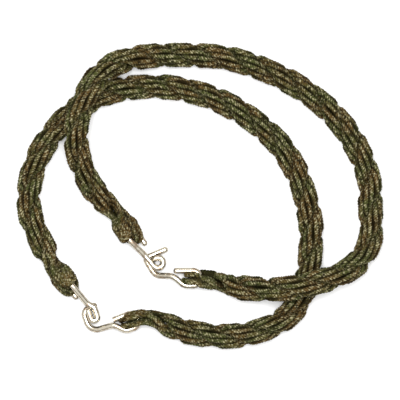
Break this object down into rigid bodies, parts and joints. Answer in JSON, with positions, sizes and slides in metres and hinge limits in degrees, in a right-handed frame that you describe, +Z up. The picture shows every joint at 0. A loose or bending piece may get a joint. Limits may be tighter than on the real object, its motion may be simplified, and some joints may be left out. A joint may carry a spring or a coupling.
{
  "type": "hooked elastic cuff band",
  "caption": "Twisted elastic rope bands lying one over the other, each closed into a loose ring by bent-wire end hooks that catch each other; they gather trouser cuffs over boots.",
  "frame": {"origin": "middle of the two bands as they lie, on the surface that they lie on", "axes": "+Z up from that surface, +X towards the upper band's far side, hooks towards -X and -Y"},
  "size_m": [0.1566, 0.1306, 0.0199],
  "materials": {
    "braided_cover": "matt braided yarn, olive drab",
    "rubber_threads": "natural latex",
    "hook_wire": "bright nickel plate over spring wire"
  },
  "bodies": {
    "lower_band": {"lower_band_cover": "braided_cover", "lower_band_core": "rubber_threads"},
    "lower_left_hook": {"lower_left_hook": "hook_wire"},
    "lower_right_hook": {"lower_right_hook": "hook_wire"},
    "upper_band": {"upper_band_cover": "braided_cover", "upper_band_core": "rubber_threads"},
    "upper_left_hook": {"upper_left_hook": "hook_wire"},
    "upper_right_hook": {"upper_right_hook": "hook_wire"}
  },
  "joints": [
    {"name": "lift_upper_band", "type": "slide", "parent": "lower_band", "child": "upper_band", "axis": [0, 0, 1], "range_m": [0, 0.06]},
    {"name": "turn_lower_left_hook", "type": "hinge", "parent": "lower_band", "child": "lower_left_hook", "pos_m": [-0.057, -0.0375, 0.00483], "axis": [-0.7198, -0.604, 0.342], "range_deg": [0, 65]},
    {"name": "turn_lower_right_hook", "type": "hinge", "parent": "lower_band", "child": "lower_right_hook", "pos_m": [-0.0295, -0.054, 0.00483], "axis": [0, 0, 1], "range_deg": [0, 50]},
    {"name": "turn_upper_left_hook", "type": "hinge", "parent": "upper_band", "child": "upper_left_hook", "pos_m": [-0.0295, -0.016, 0.00483], "axis": [-0.6197, -0.4503, -0.6428], "range_deg": [0, 65]},
    {"name": "turn_upper_right_hook", "type": "hinge", "parent": "upper_band", "child": "upper_right_hook", "pos_m": [-0.003, -0.0355, 0.00483], "axis": [0, 0, 1], "range_deg": [0, 50]}
  ]
}
